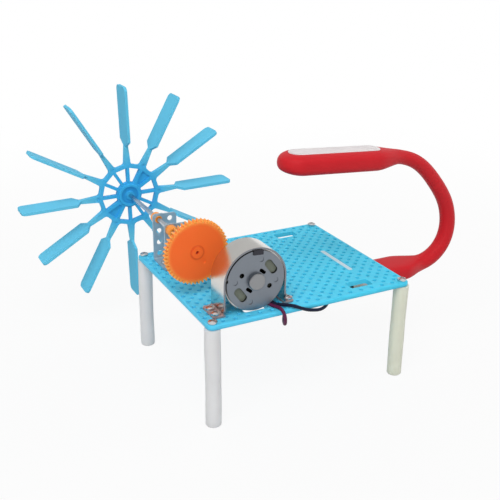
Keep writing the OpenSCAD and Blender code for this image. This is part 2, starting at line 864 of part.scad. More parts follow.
module brush_holder() {
    color("#8f9a86")
        on_motor()
            upright(end_plate_t + fit)
                linear_extrude(holder_t)
                    difference() {
                        circle(r = can_in_r - fit);
                        circle(r = holder_hole_r);
                        for (a = [152, 332])
                            rotate(a)
                                translate([pin_r, 0])
                                    circle(d = 2.6);
                        rotate(lead_turn)
                            translate([lead_flat, -3])
                                square([4, 6]);
                    }
}

module brushes() {
    l = holder_hole_r - commutator_r - 3 * fit;
    color("#3a3a3c")
        on_motor()
            for (s = [-1, 1])
                translate([s * (commutator_r + 2 * fit + l / 2), end_plate_t + holder_t / 2 + 0.1, 0])
                    cube([l, 1.2, 1], center = true);
}

module bearing(y0, l) {
    color("#b08d57")
        on_motor()
            translate([0, y0, 0])
                rotate([-90, 0, 0])
                    difference() {
                        cylinder(d = bearing_d, h = l);
                        translate([0, 0, -1])
                            cylinder(d = motor_shaft_d + 2 * run_gap, h = l + 2);
                    }
}

module motor_shaft() {
    y0 = 0.5 - end_boss_l;
    l = motor_shaft_end_y - motor_y - y0;
    color("#c9cbcd")
        on_motor()
            translate([0, y0, 0])
                rotate([-90, 0, 0])
                    rotate_extrude()
                        polygon([[0, 0], [motor_shaft_d / 2, 0], [motor_shaft_d / 2, l - 0.2],
                            [motor_shaft_d / 2 - 0.2, l], [0, l]]);
}

armature_r = can_in_r - 2.1;
armature_y = end_plate_t + holder_t + 2;
armature_l = motor_can_l - motor_wall - holder_t - 4;

module armature_core() {
    color("#7c7f84")
        on_motor()
            upright(armature_y)
                linear_extrude(armature_l)
                    difference() {
                        union() {
                            circle(r = 3);
                            for (a = [90, 210, 330])
                                rotate(a) {
                                    translate([0, -1.2])
                                        square([armature_r - 0.5, 2.4]);
                                    intersection() {
                                        difference() {
                                            circle(r = armature_r);
                                            circle(r = armature_r - 1.2);
                                        }
                                        polygon([[0, 0], [20, -21], [20, 21]]);
                                    }
                                }
                        }
                        circle(d = motor_shaft_d + fit);
                    }
}

module armature_coils() {
    l = armature_l + 1.6;
    color("#a8552f")
        on_motor()
            for (a = [90, 210, 330])
                rotate([0, -a, 0])
                    difference() {
                        translate([5.6, armature_y - 0.8, -2])
                            cube([armature_r - 1.5 - 5.6, l, 4]);
                        translate([5, armature_y - fit, -1.2 - fit])
                            cube([armature_r, armature_l + 2 * fit, 2.4 + 2 * fit]);
                    }
}

module commutator() {
    color("#b87333")
        on_motor()
            upright(end_plate_t + 0.4)
                linear_extrude(armature_y - end_plate_t - 0.4)
                    difference() {
                        circle(r = commutator_r);
                        circle(d = motor_shaft_d + fit);
                        for (a = [30, 150, 270])
                            rotate(a)
                                translate([1.6, -0.1])
                                    square([2, 0.2]);
                    }
}

module strap_outline() {
    bend_r = strap_bend_r;
    difference() {
        union() {
            circle(r = strap_out_r, $fn = 96);
            translate([-strap_out_r, -motor_h])
                square([2 * strap_out_r, motor_h]);
            translate([-strap_out_r - strap_foot, -motor_h])
                square([2 * (strap_out_r + strap_foot), strap_t]);
            for (s = [-1, 1])
                translate([s * (strap_out_r + bend_r / 2), strap_t + bend_r / 2 - motor_h])
                    square(bend_r, center = true);
        }
        for (s = [-1, 1])
            translate([s * (strap_out_r + bend_r), strap_t + bend_r - motor_h])
                circle(r = bend_r);
        circle(r = strap_in_r, $fn = 96);
        translate([-strap_in_r, -motor_h - 1])
            square([2 * strap_in_r, motor_h + 1]);
    }
}

module motor_strap() {
    color("#cfcdc8")
        on_plate()
            difference() {
                intersection() {
                    translate([motor_x, strap_y, motor_h])
                        upright(0)
                            linear_extrude(strap_w)
                                strap_outline();
                    translate([motor_x, strap_y + strap_w / 2, -1])
                        linear_extrude(motor_d + 4)
                            round_box([2 * (strap_out_r + strap_foot), strap_w], 1.5);
                }
                for (p = STRAP_SPOTS)
                    translate([p.x, p.y, -1])
                        cylinder(d = screw_d + 2 * fit, h = strap_t + 2);
            }
}

module strap_screws() {
    color("#d5d8da")
        on_plate()
            for (i = [0 : 3])
                screw(STRAP_SPOTS[i], strap_t, short_screw_len, 15 + 50 * i);
}

module lead(route) {
    on_plate()
        skin([for (i = [0 : len(route) - 1]) lead_ring(route, i)]);
}

module black_lead() {
    color("#26262a")
        lead(lead_route(lead_side, -1, BLACK_ROUTE));
}

module red_lead() {
    color("#8f2436")
        lead(lead_route(-lead_side, 1, RED_ROUTE));
}

// Box standing on its middle in Y and Z, from x0 to x1.
module bar(x0, x1, w, z0, z1) {
    translate([x0, lamp_y - w / 2, z0])
        cube([x1 - x0, w, z1 - z0]);
}

module tape_pad() {
    color("#f1f1ee")
        on_plate()
            bar(socket_mouth_x - socket_l + 1, socket_mouth_x - 1, socket_w - 1.5,
                plug_z + socket_h / 2, -plate_t);
}

module usb_socket() {
    color("#c6c8ca")
        on_plate()
            difference() {
                bar(socket_mouth_x - socket_l, socket_mouth_x, socket_w,
                    plug_z - socket_h / 2, plug_z + socket_h / 2);
                bar(socket_mouth_x - socket_l + socket_wall, socket_mouth_x + 1, shell_w + 2 * socket_gap,
                    plug_z - shell_h / 2 - socket_gap, plug_z + shell_h / 2 + socket_gap);
            }
}

tongue_z0 = plug_z + 0.1;
tongue_z1 = tongue_z0 + tongue_t - 0.2;

module socket_tongue() {
    x0 = socket_mouth_x - socket_l + socket_wall;
    color("#f4f4f2")
        on_plate() {
            bar(x0, x0 + 1.4, shell_w + 2 * socket_gap - 2 * fit,
                plug_z - shell_h / 2 - socket_gap + fit, plug_z + shell_h / 2 + socket_gap - fit);
            bar(x0 + 1, socket_mouth_x - 1, shell_w - 2 * shell_wall - 0.8, tongue_z0, tongue_z1);
        }
}

module usb_board() {
    color("#2f6b45")
        on_plate()
            bar(board_x0, board_x1, board_w, board_top - board_t, board_top);
}

module board_chip() {
    color("#2a2a2c")
        on_plate()
            translate([board_x0 + 7, lamp_y - 5.6, board_top])
                cube([3, 5, 1.5]);
}

module board_coil() {
    color("#9a9ca0")
        on_plate()
            translate([board_x0 + 6, lamp_y + 2.4, board_top])
                difference() {
                    translate([0, -2.2, 0])
                        cube([4.6, 4.6, 2.2]);
                    translate([2.3, 0.1, 1.6])
                        cylinder(d = 3, h = 1);
                }
}

module wire_terminals() {
    color("#c9cbcd")
        on_plate()
            for (s = [-1, 1])
                translate([terminal_x, lamp_y + s * terminal_y - 1, board_top])
                    cube([terminal_size, 2, 1.4]);
}

module plug_shell() {
    x0 = lamp_mouth_x - shell_out;
    color("#d3d5d7")
        on_plate()
            difference() {
                bar(x0, lamp_mouth_x + shell_in, shell_w, plug_z - shell_h / 2, plug_z + shell_h / 2);
                bar(x0 - 1, lamp_mouth_x + shell_in + 1, shell_w - 2 * shell_wall,
                    plug_z - shell_h / 2 + shell_wall, plug_z + shell_h / 2 - shell_wall);
                for (s = [-1, 1])
                    translate([x0 + 4, lamp_y + s * 2.8 - 1.1, plug_z])
                        cube([2.2, 2.2, shell_h]);
            }
}

module plug_tongue() {
    z0 = plug_z - shell_h / 2 + shell_wall;
    color("#f4f4f2")
        on_plate() {
            bar(lamp_mouth_x - shell_out + 0.4, lamp_mouth_x + shell_in, shell_w - 2 * shell_wall - 2 * fit,
                z0, plug_z - 0.1);
            bar(lamp_mouth_x + 1, lamp_mouth_x + shell_in, shell_w - 2 * shell_wall - 2 * fit,
                z0, plug_z + shell_h / 2 - shell_wall - fit);
        }
}

module lamp_base() {
    edge = 0.5;
    flat = lamp_base_l * 0.72;
    rest = lamp_base_l - flat;
    rings = concat(
        [oval([lamp_mouth_x, plug_z], 0, lamp_w - edge, lamp_base_t - edge, 5),
            oval([lamp_mouth_x + edge, plug_z], 0, lamp_w, lamp_base_t, 5)],
        [for (k = [0 : 6])
            let (e = ease(k / 6))
            oval([lamp_mouth_x + flat + rest * k / 6, plug_z], 0,
                mix(lamp_w, neck_d, e), mix(lamp_base_t, neck_d, e), mix(5, 2, e))]);
    color("#cd232d")
        on_plate()
            difference() {
                skin(rings);
                bar(lamp_mouth_x - 1, lamp_mouth_x + shell_in + fit, shell_w + 2 * fit,
                    plug_z - shell_h / 2 - fit, plug_z + shell_h / 2 + fit);
            }
}

module lamp_neck() {
    last = len(neck_line) - 1;
    color("#cd232d")
        on_plate()
            skin([for (i = [0 : last])
                let (d = mix(neck_d, neck_top_d, i / last))
                oval(neck_line[i][0], neck_line[i][1], d, d, 2)]);
}

// Places children at the head's root, with -X along the head and +Z out of the lens.
module on_head() {
    on_plate()
        translate([neck_p4.x, lamp_y, neck_p4.y])
            rotate([0, 180 - head_turn, 0])
                children();
}

lens_top = lamp_head_t / 2 + lens_proud;
lens_x = -lens_start - lens_l / 2;
board_shelf = lens_top - lens_t - 0.2 - led_h;

module lens_shape(grow) {
    round_box([lens_l + 2 * grow, lens_w + 2 * grow], lens_w / 2 + grow - 0.6);
}

module lamp_head() {
    taper = 8.5;
    nose = 7;
    rings = concat(
        [for (k = [0 : 6])
            let (e = ease(k / 6))
            oval(along(neck_p4, head_turn, taper * k / 6), head_turn,
                mix(neck_top_d, lamp_w, e), mix(neck_top_d, lamp_head_t, e), mix(2, 5, e))],
        [for (k = [0, 0.25, 0.5, 0.7, 0.85, 0.95, 0.99])
            oval(along(neck_p4, head_turn, lamp_head_l - nose + nose * k), head_turn,
                lamp_w * sqrt(1 - k * k), lamp_head_t * pow(1 - k * k, 0.22), 5 - k)]);
    color("#cd232d")
        difference() {
            on_plate()
                skin(rings);
            on_head()
                translate([lens_x, 0, lens_top - lens_t])
                    linear_extrude(lamp_head_t)
                        lens_shape(fit);
            on_head()
                translate([lens_x, 0, board_shelf - led_board_t])
                    linear_extrude(lamp_head_t)
                        lens_shape(-0.9);
        }
}

module led_board() {
    color("#e9ecec")
        on_head()
            translate([lens_x, 0, board_shelf - led_board_t])
                linear_extrude(led_board_t)
                    lens_shape(-0.9 - fit);
}

module led_chips() {
    step = (lens_l - 8) / leds;
    color("#f0d56a")
        on_head()
            for (k = [0 : leds - 1])
                translate([lens_x + (k + 0.5 - leds / 2) * step, 0, board_shelf + led_h / 2])
                    cube([led_size, led_size, led_h], center = true);
}

module lamp_lens() {
    bevel = 0.3;
    color("#e6e7e8")
        on_head() {
            translate([lens_x, 0, lens_top - lens_t])
                linear_extrude(lens_t - bevel)
                    lens_shape(0);
            translate([lens_x, 0, lens_top - bevel])
                linear_extrude(bevel)
                    lens_shape(-bevel);
        }
}

base_plate();
slot_strip();
leg(-1, -1);  // leg_front_left
leg(1, -1);  // leg_front_right
leg(-1, 1);  // leg_back_left
leg(1, 1);  // leg_back_right
leg_screws();
shaft_bracket();
bracket_screw();
bush(arm_front_y, -1);  // front_bush
bush(arm_back_y, 1);  // rear_bush
wheel_shaft();
water_wheel();
drive_gear();
motor_can();
motor_end_plate();
motor_magnets();
brush_holder();
brushes();
bearing(end_plate_t + motor_can_l - motor_wall, bearing_l);  // rear_bearing
bearing(0.4 - end_boss_l, bearing_l);  // end_bearing
motor_shaft();
armature_core();
armature_coils();
commutator();
motor_pinion();
motor_strap();
strap_screws();
black_lead();
red_lead();
tape_pad();
usb_socket();
socket_tongue();
usb_board();
board_chip();
board_coil();
wire_terminals();
plug_shell();
plug_tongue();
lamp_base();
lamp_neck();
lamp_head();
led_board();
led_chips();
lamp_lens();
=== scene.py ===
import json
from math import cos, pi, radians, sin

import bmesh
import bpy
from mathutils import Matrix, Vector


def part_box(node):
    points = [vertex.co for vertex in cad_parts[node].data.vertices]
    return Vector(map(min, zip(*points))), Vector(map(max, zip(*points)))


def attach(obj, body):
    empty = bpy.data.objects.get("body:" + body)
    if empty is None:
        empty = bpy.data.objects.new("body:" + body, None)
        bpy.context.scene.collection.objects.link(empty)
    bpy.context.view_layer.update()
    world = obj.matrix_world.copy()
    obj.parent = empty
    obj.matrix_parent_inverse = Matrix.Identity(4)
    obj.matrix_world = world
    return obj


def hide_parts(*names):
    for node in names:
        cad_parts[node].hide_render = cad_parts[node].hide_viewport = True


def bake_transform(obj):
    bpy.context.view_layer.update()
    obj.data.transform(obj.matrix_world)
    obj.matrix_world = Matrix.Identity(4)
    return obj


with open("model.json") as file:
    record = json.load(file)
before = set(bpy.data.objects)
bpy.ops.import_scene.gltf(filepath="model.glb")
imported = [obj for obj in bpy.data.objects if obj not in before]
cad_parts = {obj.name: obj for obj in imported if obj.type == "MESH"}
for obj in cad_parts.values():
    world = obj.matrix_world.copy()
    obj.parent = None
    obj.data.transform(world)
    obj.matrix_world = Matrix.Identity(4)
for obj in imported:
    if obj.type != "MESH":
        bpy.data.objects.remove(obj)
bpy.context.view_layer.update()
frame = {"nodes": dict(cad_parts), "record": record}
nodes = frame["nodes"]
slotOf = {s["node"]: s["material_slot"] for s in frame["record"]["subparts"]}
bodyOf = {n: b for b, ns in frame["record"]["behaviour"]["bodies"].items() for n in ns}
mm = 0.001
print("frame loaded:", len(nodes), "nodes")


# Camera at the photograph's place, for a 500 x 500 picture.
cameraSpec = {"place": (-0.14718, -0.28396, 0.17695), "turn": (67.56, -0.527, -27.249), "lens": 57.58, "sensor": 36}


def setCamera(spec):
    data = bpy.data.cameras.new("photoCamera")
    data.sensor_fit = "HORIZONTAL"
    data.sensor_width = spec["sensor"]
    data.lens = spec["lens"]
    data.clip_start = 0.01
    cam = bpy.data.objects.new("photoCamera", data)
    cam.location = spec["place"]
    cam.rotation_euler = [radians(a) for a in spec["turn"]]
    bpy.context.collection.objects.link(cam)
    bpy.context.scene.camera = cam


setCamera(cameraSpec)
bpy.context.scene.view_settings.view_transform = "Standard"
print("camera set")


# Shader helpers: a wrapped socket does maths, a finish makes nodes.
class Wire:
    def __init__(self, finish, socket):
        self.finish = finish
        self.socket = socket

    def calc(self, operation, a, b):
        return self.finish.node("ShaderNodeMath", {"operation": operation}, {0: a, 1: b})

    def __add__(self, other):
        return self.calc("ADD", self, other)

    def __radd__(self, other):
        return self.calc("ADD", other, self)

    def __sub__(self, other):
        return self.calc("SUBTRACT", self, other)

    def __rsub__(self, other):
        return self.calc("SUBTRACT", other, self)

    def __mul__(self, other):
        return self.calc("MULTIPLY", self, other)

    def __rmul__(self, other):
        return self.calc("MULTIPLY", other, self)


class Finish:
    def __init__(self, name, tree=None):
        self.tree = tree
        if tree is None:
            self.material = bpy.data.materials.new(name)
            self.material.use_nodes = True
            self.tree = self.material.node_tree
            self.shader = self.tree.nodes["Principled BSDF"]
            self.out = self.tree.nodes["Material Output"]

    def node(self, kind, settings=None, inputs=None, output=0):
        made = self.tree.nodes.new(kind)
        for key, value in (settings or {}).items():
            setattr(made, key, value)
        for key, value in (inputs or {}).items():
            self.put(made.inputs[key], value)
        return Wire(self, made.outputs[output])

    def put(self, socket, value):
        if isinstance(value, Wire):
            self.tree.links.new(value.socket, socket)
        else:
            socket.default_value = value

    def set(self, **values):
        for key, value in values.items():
            self.put(self.shader.inputs[key.replace("_", " ")], value)
        return self

    def coords(self, scale=(1, 1, 1), shift=(0, 0, 0)):
        where = self.node("ShaderNodeTexCoord", output="Object")
        return self.node("ShaderNodeMapping", {}, {"Vector": where, "Scale": scale, "Location": shift})

    def noise(self, size, detail=3.0, stretch=(1, 1, 1)):
        where = self.coords(stretch)
        return self.node("ShaderNodeTexNoise", {}, {"Vector": where, "Scale": 1 / size, "Detail": detail})

    def place(self, axis):
        return self.node("ShaderNodeSeparateXYZ", {}, {0: self.coords()}, axis)

    def reach(self, x, z):
        flat = self.coords(scale=(1, 0, 1), shift=(-x, 0, -z))
        return self.node("ShaderNodeVectorMath", {"operation": "LENGTH"}, {0: flat}, "Value")

    def between(self, value, start, end):
        return self.node("ShaderNodeMapRange", {"interpolation_type": "SMOOTHSTEP"},
                         {"Value": value, "From Min": start, "From Max": end, "To Min": 0.0, "To Max": 1.0})

    def tint(self, factor, low, high):
        return self.node("ShaderNodeMix", {"data_type": "RGBA"}, {0: factor, 6: low, 7: high}, 2)

    def bump(self, height, depth, strength=1.0):
        return self.node("ShaderNodeBump", {}, {"Height": height, "Distance": depth, "Strength": strength})


def rgb(r, g, b):
    def line(v):
        v = v / 255
        return v / 12.92 if v <= 0.04045 else ((v + 0.055) / 1.055) ** 2.4
    return (line(r), line(g), line(b), 1.0)


def shade(colour, k):
    return tuple(min(1.0, c * k) for c in colour[:3]) + (1.0,)


def meshObject(name, bm):
    mesh = bpy.data.meshes.new(name)
    bm.to_mesh(mesh)
    bm.free()
    obj = bpy.data.objects.new(name, mesh)
    bpy.context.collection.objects.link(obj)
    return obj


# White floor that keeps a faint shadow near the model, and a white world.
stageSpec = {"floor": 3.0, "floorWhite": 0.66, "lift": 0.91, "fade": (0.12, 0.45), "world": 0.42}


def seenWhite(f):
    path = f.tree.nodes.new("ShaderNodeLightPath")
    seen = Wire(f, path.outputs["Is Camera Ray"]) + Wire(f, path.outputs["Is Glossy Ray"])
    return seen + Wire(f, path.outputs["Is Transmission Ray"])


def setStage(spec):
    bm = bmesh.new()
    bmesh.ops.create_grid(bm, x_segments=1, y_segments=1, size=spec["floor"])
    floor = meshObject("floor", bm)
    f = Finish("paperFloor")
    w = spec["floorWhite"]
    f.set(Base_Color=(w, w, w, 1), Roughness=0.9, Specular_IOR_Level=0.1)
    far = f.node("ShaderNodeVectorMath", {"operation": "LENGTH"}, {0: f.coords()}, "Value")
    near, end = spec["fade"]
    lift = f.node("ShaderNodeMapRange", {"interpolation_type": "SMOOTHSTEP"},
                  {"Value": far, "From Min": near, "From Max": end, "To Min": spec["lift"], "To Max": 1.0})
    glow = f.node("ShaderNodeEmission", {}, {"Color": (1, 1, 1, 1), "Strength": 1.0})
    mixed = f.node("ShaderNodeMixShader", {}, {0: seenWhite(f) * lift, 1: Wire(f, f.shader.outputs[0]), 2: glow})
    f.tree.links.new(mixed.socket, f.out.inputs["Surface"])
    floor.data.materials.append(f.material)
    world = bpy.data.worlds.new("studio")
    bpy.context.scene.world = world
    world.use_nodes = True
    sky = Finish("sky", world.node_tree)
    back = sky.tree.nodes["Background"]
    back.inputs["Color"].default_value = (1, 1, 1, 1)
    level = sky.node("ShaderNodeMapRange", {}, {"Value": seenWhite(sky), "To Min": spec["world"], "To Max": 1.0})
    sky.tree.links.new(level.socket, back.inputs["Strength"])


# Soft panels that light the model but don't show in its metal, all aimed at its middle.
lampAim = (0, 0, 0.06)
lampSpecs = [
    {"name": "keyPanel", "place": (-0.35, -0.43, 0.78), "size": (0.7, 0.5), "watts": 5.2},
    {"name": "frontPanel", "place": (-0.5, -0.75, 0.3), "size": (0.5, 0.4), "watts": 0.9},
    {"name": "rightPanel", "place": (0.75, -0.2, 0.45), "size": (0.5, 0.5), "watts": 1.4},
    {"name": "backPanel", "place": (0.1, 0.7, 0.6), "size": (0.8, 0.4), "watts": 1.6},
]


def setLamps(specs):
    for spec in specs:
        data = bpy.data.lights.new(spec["name"], "AREA")
        data.shape = "RECTANGLE"
        data.size, data.size_y = spec["size"]
        data.energy = spec["watts"]
        lamp = bpy.data.objects.new(spec["name"], data)
        lamp.location = spec["place"]
        lamp.visible_glossy = False
        way = Vector(lampAim) - Vector(spec["place"])
        lamp.rotation_euler = way.to_track_quat("-Z", "Y").to_euler()
        bpy.context.collection.objects.link(lamp)


# A grey ring round the model, seen only in its bright metal.
cardSpec = {"away": 1.6, "low": 0.3, "high": 2.4, "grey": 0.66}


def setCard(spec):
    bm = bmesh.new()
    tall = spec["high"] - spec["low"]
    bmesh.ops.create_cone(bm, cap_ends=False, segments=64, radius1=spec["away"], radius2=spec["away"], depth=tall)
    bmesh.ops.translate(bm, verts=bm.verts, vec=(0, 0, spec["low"] + tall / 2))
    card = meshObject("greyCard", bm)
    card.visible_camera = card.visible_diffuse = card.visible_transmission = card.visible_shadow = False
    f = Finish("greyCard")
    g = spec["grey"]
    f.set(Base_Color=(0, 0, 0, 1), Specular_IOR_Level=0.0, Emission_Color=(g, g, g, 1), Emission_Strength=1.0)
    card.data.materials.append(f.material)


setStage(stageSpec)
setCard(cardSpec)
setLamps(lampSpecs)
print("stage and lamps set")


# Finishes, one for each material slot of the record.
def mouldedPlastic(name, colour, rough=0.35, coat=0.0, mottle=0.05, grain=0.00001, glow=None, gloss=0.3,
                   paintedLightZones=None, paintedShadeRing=None):
    f = Finish(name)
    cloud = f.noise(0.012, 2.0)
    fine = f.noise(0.0009, 2.0)
    # Painted light: the colour shifts from near to far along X or out from an axis, standing in for light and shade
    # that fall on the part.
    if paintedLightZones:
        near, far, start, end, centre = paintedLightZones
        spread = f.reach(*centre) if centre else f.place("X")
        reach = f.between(spread, start, end)
        base = f.tint(reach, f.tint(cloud, shade(near, 1 - mottle), shade(near, 1 + mottle)),
                      f.tint(cloud, shade(far, 1 - mottle), shade(far, 1 + mottle)))
    else:
        base = f.tint(cloud, shade(colour, 1 - mottle), shade(colour, 1 + mottle))
    # Painted shade: a darker ring mixed into the colour.
    if paintedShadeRing:
        base = f.tint(paintedShadeRing[0](f), base, paintedShadeRing[1])
    f.set(Base_Color=base, Roughness=rough - 0.06 + 0.12 * cloud, Coat_Weight=coat, Coat_Roughness=0.12)
    f.set(Specular_IOR_Level=gloss)
    if grain:
        f.set(Normal=f.bump(fine, grain, 0.4))
    if glow:
        f.set(Subsurface_Weight=0.25, Subsurface_Radius=glow, Subsurface_Scale=1.0)
    return f.material


# A ring of painted shade round the wheel's axis, in the groove of a hub.
def ringShade(strength, rise, fall):
    def shadeOf(f):
        far = f.reach(*wheelAxis)
        return strength * f.between(far, *rise) * (1 - f.between(far, *fall))
    return shadeOf


def sheetMetal(name, colour, rough=0.3, streak=(1, 1, 12), spread=0.12, mottle=0.08, paintedLightBands=(), paintedFootReflection=None):
    f = Finish(name)
    lines = f.noise(0.0012, 3.0, stretch=streak)
    cloud = f.noise(0.006, 3.0)
    base = f.tint(cloud, shade(colour, 1 - mottle), shade(colour, 1 + mottle))
    metal = 1.0
    # Painted reflection: below a height the metal takes a mottled pinkish-brown tint for the blurred reflection of the
    # orange gear, and is less metallic and rougher.
    if paintedFootReflection:
        level, reflectedTint = paintedFootReflection
        spots = f.between(f.noise(0.0011, 1.0), 0.45, 0.6)
        low = 1 - f.between(f.place("Z"), level, level + 0.0006)
        base = f.tint(low, base, f.tint(spots, reflectedTint, shade(reflectedTint, 1.5)))
        metal = 1 - 0.8 * low
        rough = rough + 0.3 * low
    # Painted shade and painted highlight: another tint before or behind a place in Y.
    for start, other, way in paintedLightBands:  # another tint before or behind a place in Y
        behind = f.between(f.place("Y"), start, start + 0.00004)
        base = f.tint(behind, other, base) if way < 0 else f.tint(behind, base, other)
    f.set(Base_Color=base, Metallic=metal, Roughness=rough - spread / 2 + spread * lines)
    f.set(Normal=f.bump(lines, 0.00002, 0.3))
    return f.material


def zincSheet(name, colour, rough=0.38):
    f = Finish(name)
    cells = f.node("ShaderNodeTexVoronoi", {}, {"Vector": f.coords(), "Scale": 380.0}, "Color")
    grey = f.node("ShaderNodeRGBToBW", {}, {0: cells})
    fine = f.noise(0.0008, 3.0)
    base = f.tint(grey, shade(colour, 0.86), shade(colour, 1.1))
    f.set(Base_Color=base, Metallic=0.55, Roughness=rough - 0.08 + 0.16 * grey)
    f.set(Normal=f.bump(fine, 0.00003, 0.35))
    return f.material


def softSilicone(name, colour, rough=0.5):
    f = Finish(name)
    cloud = f.noise(0.01, 3.0)
    fine = f.noise(0.0004, 2.0)
    base = f.tint(cloud, shade(colour, 0.95), shade(colour, 1.05))
    f.set(Base_Color=base, Roughness=rough - 0.05 + 0.1 * fine, Specular_IOR_Level=0.22)
    f.set(Sheen_Weight=0.03, Sheen_Roughness=0.4, Normal=f.bump(fine, 0.00001, 0.3))
    return f.material


def milkPlastic(name, colour, rough=0.42, other=None):
    f = Finish(name)
    cloud = f.noise(0.009, 2.0)
    base = f.tint(cloud, shade(colour, 0.95), shade(colour, 1.04))
    if other:
        base = f.tint(f.between(f.place("X"), -0.03, 0.03), base, f.tint(cloud, shade(other, 0.95), shade(other, 1.04)))
    f.set(Base_Color=base, Roughness=rough, Subsurface_Weight=0.4, Subsurface_Scale=0.6)
    f.set(Subsurface_Radius=(0.006, 0.006, 0.0055), Specular_IOR_Level=0.3)
    f.set(Normal=f.bump(f.noise(0.003, 2.0), 0.0002, 0.3))
    return f.material


def sleeve(name, colour, rough=0.5):
    f = Finish(name)
    cloud = f.noise(0.002, 2.0)
    f.set(Base_Color=f.tint(cloud, shade(colour, 0.85), shade(colour, 1.15)), Roughness=rough, Specular_IOR_Level=0.2)
    return f.material


def circuitBoard(name, colour):
    f = Finish(name)
    lanes = f.node("ShaderNodeTexBrick", {"offset": 0.37, "squash": 1.0}, {
        "Vector": f.coords(), "Color1": shade(colour, 0.9), "Color2": shade(colour, 1.15),
        "Mortar": shade(colour, 1.7), "Scale": 260.0, "Mortar Size": 0.03})
    f.set(Base_Color=lanes, Roughness=0.4, Coat_Weight=0.3, Coat_Roughness=0.2)
    return f.material


wheelAxis = (-0.0368, 0.0611)
faceY = -0.0496
finishes = {
    # Painted light: the plate's left side is lifted against the shade that gear, wheel and motor cast there.
    "sky_plastic": mouldedPlastic("skyPlastic", rgb(62, 190, 228), 0.4, gloss=0.15,
        paintedLightZones=(rgb(84, 199, 236), rgb(74, 200, 232), -0.03, 0.02, None)),
    "strip_plastic": milkPlastic("milkyStrip", rgb(196, 222, 234)),
    # Painted light: the colour lightens out from the axis, with the hub lifted against the shade of its recess; a ring
    # of painted shade lies in the hub's groove.
    "wheel_plastic": mouldedPlastic("wheelPlastic", rgb(62, 176, 222), 0.5, grain=0, gloss=0.05,
        paintedLightZones=(rgb(60, 172, 228), rgb(100, 194, 226), 0.01, 0.021, wheelAxis),
        paintedShadeRing=(ringShade(0.3, (0.0019, 0.0022), (0.0037, 0.0042)), rgb(30, 118, 190))),
    "leg_plastic": milkPlastic("milkyLegs", rgb(220, 220, 221), other=rgb(218, 220, 203)),
    # Painted light: the teeth are lighter, as if light shone through thin plastic; a ring of painted shade lies round
    # the boss.
    "gear_plastic": mouldedPlastic("orangePlastic", rgb(238, 106, 44), 0.45, glow=(0.003, 0.0012, 0.0006), gloss=0.15,
        paintedLightZones=(rgb(253, 112, 48), rgb(255, 166, 82), 0.0104, 0.0126, wheelAxis),
        paintedShadeRing=(ringShade(0.5, (0.002, 0.0025), (0.0025, 0.0033)), rgb(196, 66, 26))),
    "bush_plastic": mouldedPlastic("amberPlastic", rgb(244, 152, 62), 0.38, gloss=0.25),
    "pinion_plastic": mouldedPlastic("ivoryPlastic", rgb(232, 228, 214), 0.4),
    "white_plastic": mouldedPlastic("whitePlastic", rgb(228, 228, 226), 0.4),
    "holder_plastic": mouldedPlastic("greyGreenPlastic", rgb(112, 118, 106), 0.5),
    "tape": mouldedPlastic("foamTape", rgb(230, 230, 226), 0.8, 0.0, 0.04, 0.00008),
    "chip_black": mouldedPlastic("chipBlack", rgb(34, 34, 36), 0.45),
    "coil_grey": mouldedPlastic("ferriteGrey", rgb(110, 112, 116), 0.5),
    "brush_carbon": mouldedPlastic("carbonBrush", rgb(40, 40, 42), 0.6),
    "led_white": mouldedPlastic("boardWhite", rgb(230, 232, 232), 0.4),
    "led_yellow": mouldedPlastic("phosphorYellow", rgb(240, 214, 110), 0.4, 0.3),
    "lens_plastic": milkPlastic("frostedLens", rgb(221, 213, 213), 0.35),
    "screw_steel": sheetMetal("screwZinc", rgb(206, 205, 205), 0.26, (1, 1, 1)),
    "shaft_steel": sheetMetal("groundSteel", rgb(208, 208, 211), 0.24, (1, 10, 1)),
    # Painted shade on the strap's front edge; a painted reflection of the orange gear, pinkish-brown and mottled, on
    # its feet.
    "strap_steel": sheetMetal("strapSteel", rgb(213, 211, 207), 0.16, (6, 1, 1), 0.08, 0.05,
        paintedLightBands=[(faceY + 0.00026, rgb(132, 134, 140), -1)], paintedFootReflection=(0.0438, rgb(150, 128, 128))),
    # Painted shade: the can's tab in front of the end plate's face is dark, as the shade of its notch.
    "can_steel": sheetMetal("canSteel", rgb(200, 197, 194), 0.25, (1, 6, 1),
        paintedLightBands=[(faceY - 0.0001, rgb(64, 64, 70), -1)]),
    # Painted shade behind the face, in the vents and round the rim; the boss in front is lighter, partly its own face
    # and partly a painted highlight.
    "end_steel": sheetMetal("endPlateZinc", rgb(132, 138, 146), 0.42, (1, 1, 1), 0.12, 0.06,
        paintedLightBands=[(faceY + 0.00032, rgb(52, 54, 58), 1), (faceY - 0.0011, rgb(150, 151, 153), -1)]),
    "core_steel": sheetMetal("coreSheet", rgb(130, 132, 136), 0.45, (1, 14, 1)),
    "shell_steel": sheetMetal("tinShell", rgb(200, 201, 202), 0.26, (8, 1, 1)),
    "solder": sheetMetal("solder", rgb(196, 198, 200), 0.3, (1, 1, 1)),
    "bearing_brass": sheetMetal("sinteredBrass", rgb(196, 152, 92), 0.42, (1, 1, 1)),
    "copper": sheetMetal("enamelCopper", rgb(190, 104, 58), 0.35, (1, 1, 14)),
    "magnet": mouldedPlastic("ferriteBlack", rgb(58, 58, 60), 0.6),
    "bracket_steel": zincSheet("galvanised", rgb(170, 192, 206), 0.45),
    "lamp_silicone": softSilicone("redSilicone", rgb(194, 24, 34)),
    "lead_black": sleeve("blackSleeve", rgb(16, 22, 48)),
    "lead_red": sleeve("redSleeve", rgb(90, 30, 66)),
    "board_green": circuitBoard("greenBoard", rgb(44, 110, 70)),
}
print("finishes made:", len(finishes))


def wear(obj, slot):
    obj.data.materials.clear()
    obj.data.materials.append(finishes[slot])


for name, obj in nodes.items():
    wear(obj, slotOf[name])


def addPiece(name, bm, like):
    obj = meshObject(name, bm)
    wear(obj, slotOf[like])
    return obj


def ease(k):
    return k * k * (3 - 2 * k)


def mix(a, b, k):
    return a + (b - a) * k


